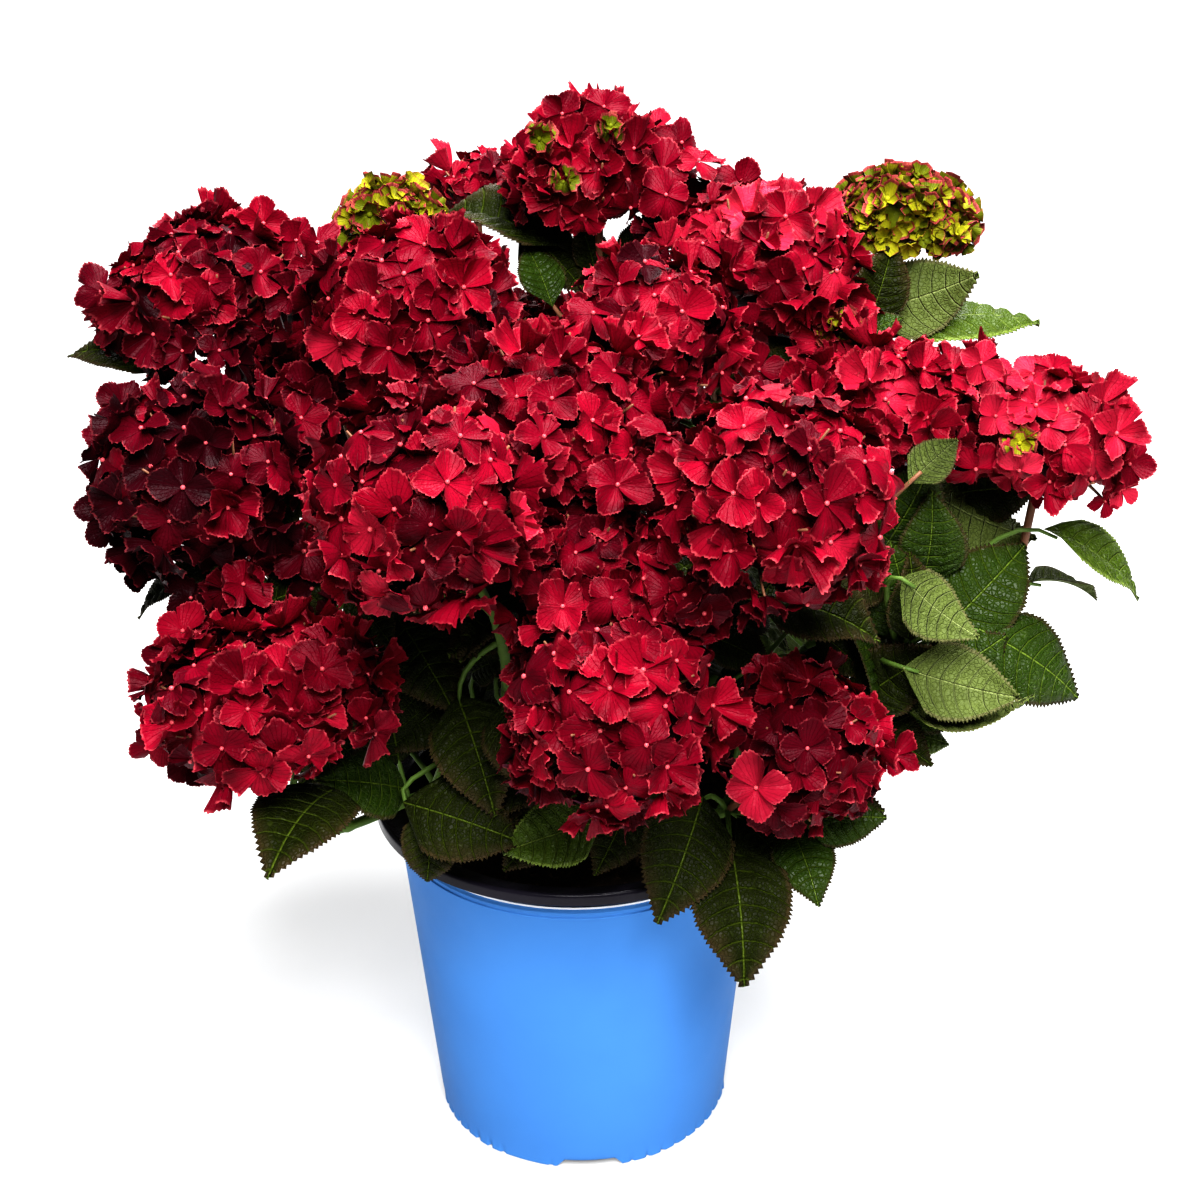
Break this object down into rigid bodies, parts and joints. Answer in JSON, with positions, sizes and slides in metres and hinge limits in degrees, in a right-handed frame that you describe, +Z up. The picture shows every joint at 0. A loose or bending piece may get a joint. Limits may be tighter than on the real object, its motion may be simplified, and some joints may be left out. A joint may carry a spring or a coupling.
{
  "type": "potted hydrangea shrub",
  "caption": "Mophead hydrangea in full flower, with red and green flower heads over dark leaves, in a round black nursery pot with a plain blue sleeve.",
  "frame": {"origin": "middle of the pot's flat underside", "axes": "+Z up along the pot's axis, -Y towards the front of the plant, +X to its right seen from the front"},
  "size_m": [0.5704, 0.4941, 0.5739],
  "materials": {
    "pot_black": "smooth black moulded plastic with a soft gloss",
    "sleeve_blue": "bright blue satin plastic sheet with a thin pale cut edge",
    "potting_mix": "dark damp crumbly peat and bark mix",
    "bark": "grey-brown bark with fine lengthways fissures",
    "leaf": "quilted dark green leaf with paler veins and a purple toothed margin",
    "petal_red": "matt crimson sepals with darker streaks and thin pink margins",
    "petal_green": "matt lime green young sepals with rose tips"
  },
  "bodies": {
    "root": {"pot": "pot_black", "pot_sleeve": "sleeve_blue", "potting_mix": "potting_mix", "crown": "bark", "cane_left_top": "bark", "cane_left_middle": "bark", "cane_left_low": "bark", "cane_front_left": "bark", "cane_low_front": "bark", "cane_front_right": "bark", "cane_low_right": "bark", "cane_right": "bark", "cane_back_right": "bark", "cane_back_middle": "bark", "cane_back_left": "bark", "cane_inner_front": "bark", "cane_inner_left": "bark", "cane_inner_back": "bark", "cane_inner_right": "bark", "bloom_left_top": "petal_red", "bloom_left_middle": "petal_red", "bloom_left_low": "petal_red", "bloom_front_left_top": "petal_red", "bloom_front_left": "petal_red", "bloom_front_centre": "petal_red", "bloom_front_small": "petal_red", "bloom_middle_top": "petal_red", "bloom_top": "petal_red", "bloom_top_small": "petal_red", "bloom_right_top": "petal_red", "bloom_front_right": "petal_red", "bloom_right": "petal_red", "bloom_far_right": "petal_red", "bloom_low_front": "petal_red", "bloom_low_right": "petal_red", "bloom_back_left": "petal_red", "bloom_back_far_left": "petal_red", "bloom_back_left_low": "petal_red", "bloom_back_middle": "petal_red", "bloom_middle_back": "petal_red", "bloom_back_right": "petal_red", "bloom_back_right_low": "petal_red", "bloom_back_far_right": "petal_red", "bloom_green_right": "petal_green", "bloom_green_left": "petal_green", "leaves_left_top": "leaf", "leaves_left_middle": "leaf", "leaves_left_low": "leaf", "leaves_front_left": "leaf", "leaves_low_front": "leaf", "leaves_front_right": "leaf", "leaves_low_right": "leaf", "leaves_right": "leaf", "leaves_back_right": "leaf", "leaves_back_middle": "leaf", "leaves_back_left": "leaf", "leaves_inner_front": "leaf", "leaves_inner_left": "leaf", "leaves_inner_back": "leaf", "leaves_inner_right": "leaf"}
  },
  "joints": []
}
